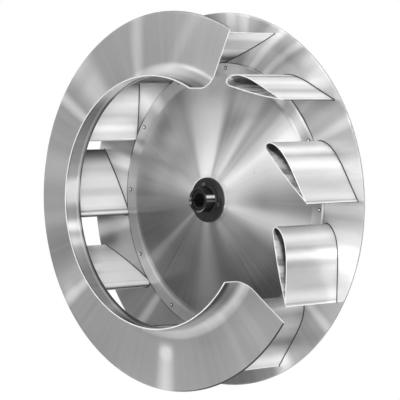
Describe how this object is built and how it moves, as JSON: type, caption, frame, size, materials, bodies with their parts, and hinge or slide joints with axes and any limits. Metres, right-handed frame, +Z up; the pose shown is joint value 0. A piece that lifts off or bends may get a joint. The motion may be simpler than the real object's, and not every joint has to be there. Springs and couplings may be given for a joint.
{
  "type": "blower wheel",
  "caption": "Single-inlet blower wheel with hollow airfoil blades between a back plate and a bell-mouthed front shroud cut away over one sector, on a dished disc with a flanged hub.",
  "frame": {"origin": "on the wheel's axis, in the plane of the hub's rear face, which is also the back plate's front face", "axes": "the shaft runs along Y, the inlet faces -Y and +Z is up"},
  "size_m": [0.762, 0.2103, 0.762],
  "materials": {
    "sheet_steel": "brushed, satin",
    "disc_steel": "turned, with fine circular brushing",
    "hub_iron": "black, semi-gloss",
    "fastener_steel": "satin"
  },
  "bodies": {
    "root": {"back_plate": "sheet_steel", "centre_disc": "disc_steel", "front_shroud": "sheet_steel", "blade_01": "sheet_steel", "blade_02": "sheet_steel", "blade_03": "sheet_steel", "blade_04": "sheet_steel", "blade_05": "sheet_steel", "blade_06": "sheet_steel", "blade_07": "sheet_steel", "blade_08": "sheet_steel", "blade_09": "sheet_steel", "blade_10": "sheet_steel", "blade_11": "sheet_steel", "hub": "hub_iron", "shaft_bushing": "hub_iron", "hub_bolt_1": "fastener_steel", "hub_bolt_2": "fastener_steel", "hub_bolt_3": "fastener_steel", "rivet_01": "fastener_steel", "rivet_02": "fastener_steel", "rivet_03": "fastener_steel", "rivet_04": "fastener_steel", "rivet_05": "fastener_steel", "rivet_06": "fastener_steel", "rivet_07": "fastener_steel", "rivet_08": "fastener_steel", "rivet_09": "fastener_steel", "rivet_10": "fastener_steel", "rivet_11": "fastener_steel", "rivet_12": "fastener_steel"}
  },
  "joints": []
}
